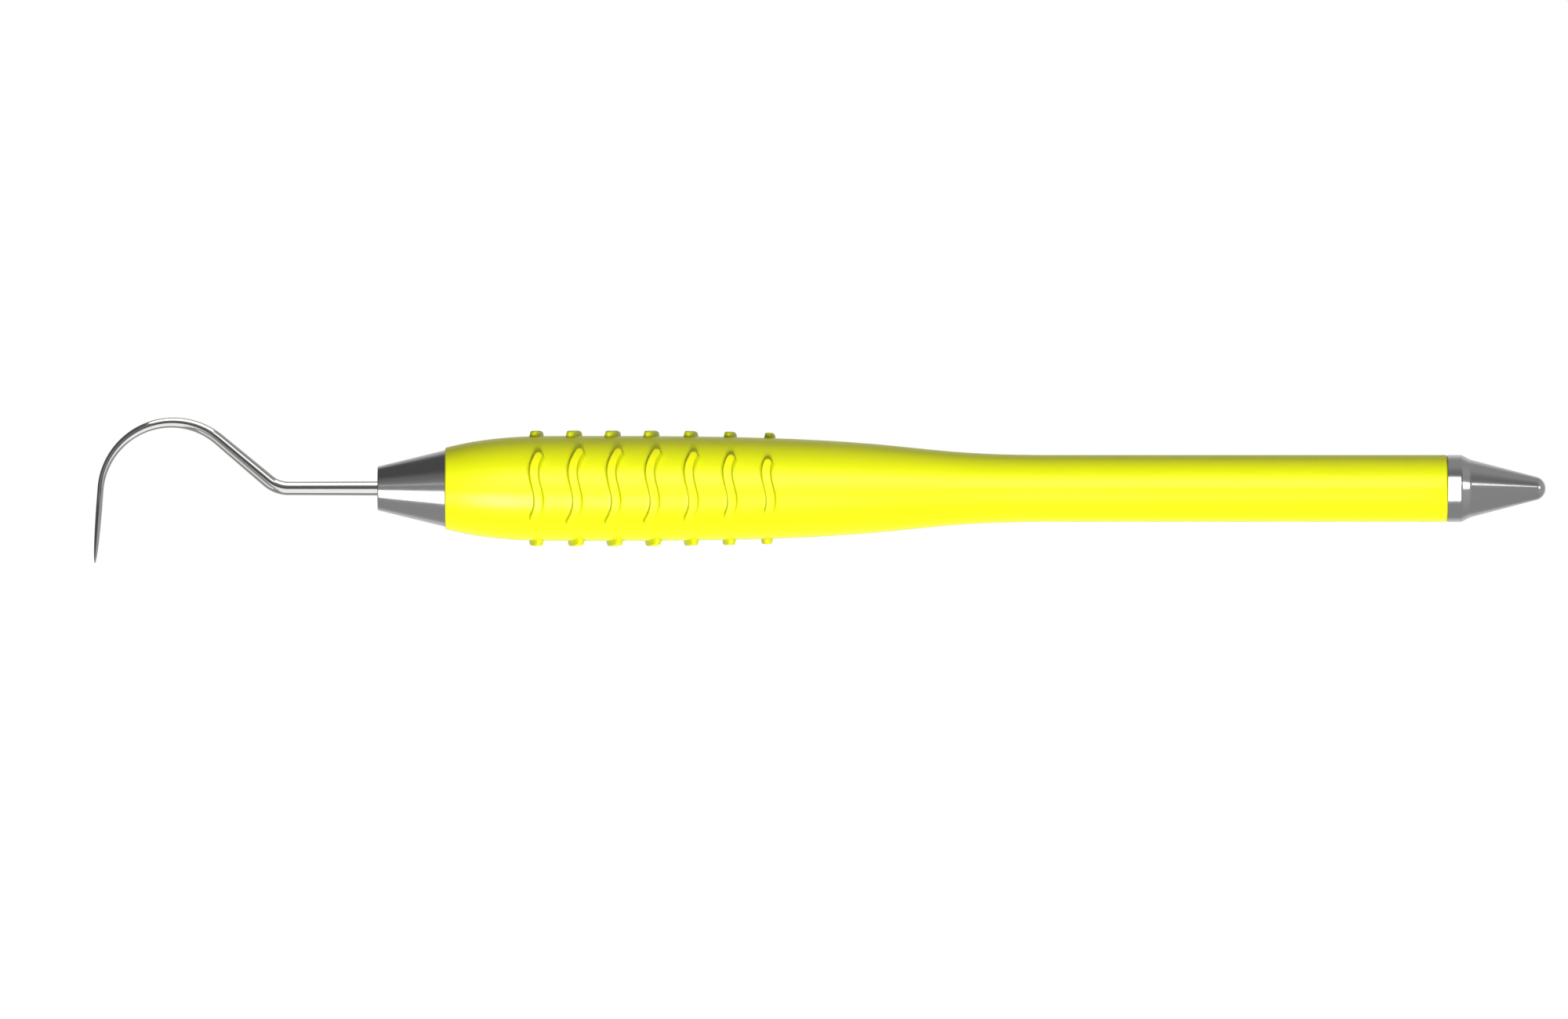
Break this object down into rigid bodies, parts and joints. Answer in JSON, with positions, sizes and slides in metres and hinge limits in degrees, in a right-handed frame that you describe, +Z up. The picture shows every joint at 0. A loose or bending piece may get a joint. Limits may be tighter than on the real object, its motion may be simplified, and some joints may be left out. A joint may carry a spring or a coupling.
{
  "type": "hand scaler",
  "caption": "Hand scaler: hooked, pointed steel working end and conical steel end cap, screwed into a slim handle with a soft sleeve and S-shaped finger ribs.",
  "frame": {"origin": "on the handle's axis, in the middle of the straight rear shaft", "axes": "+X along the handle's axis towards the end cap; the hook lies in the XY plane, with its arch towards +Y and its point towards -Y; +Z is up, with a rib row facing up"},
  "size_m": [0.1735, 0.0174, 0.0135],
  "materials": {
    "wire_steel": "polished stainless wire",
    "turned_steel": "turned and polished stainless steel",
    "bush_steel": "turned stainless steel",
    "tube_steel": "drawn stainless tube",
    "seal_rubber": "moulded O-ring rubber",
    "former_polymer": "moulded polyphenylsulfone",
    "sleeve_silicone": "satin moulded silicone"
  },
  "bodies": {
    "handle": {"core_tube": "tube_steel", "grip_former": "former_polymer", "grip_sleeve": "sleeve_silicone", "front_bush": "bush_steel", "rear_bush": "bush_steel"},
    "tip_seal": {"front_seal": "seal_rubber"},
    "working_end": {"front_cone": "turned_steel", "hook_wire": "wire_steel"},
    "cap_seal": {"rear_seal": "seal_rubber"},
    "cap": {"end_cap": "turned_steel"}
  },
  "joints": [
    {"name": "working_end_travel", "type": "slide", "parent": "handle", "child": "tip_seal", "axis": [-1, 0, 0], "range_m": [0, 0.007]},
    {"name": "working_end_screw", "type": "hinge", "parent": "tip_seal", "child": "working_end", "pos_m": [-0.096, 0, 0], "axis": [-1, 0, 0], "range_deg": [0, 3600]},
    {"name": "cap_travel", "type": "slide", "parent": "handle", "child": "cap_seal", "axis": [1, 0, 0], "range_m": [0, 0.007]},
    {"name": "cap_screw", "type": "hinge", "parent": "cap_seal", "child": "cap", "pos_m": [0.02375, 0, 0], "axis": [1, 0, 0], "range_deg": [0, 3600]}
  ],
  "couplings": [
    {"joint": "working_end_travel", "follows": "working_end_screw", "m_per_rad": 0.00011141},
    {"joint": "cap_travel", "follows": "cap_screw", "m_per_rad": 0.00011141}
  ]
}
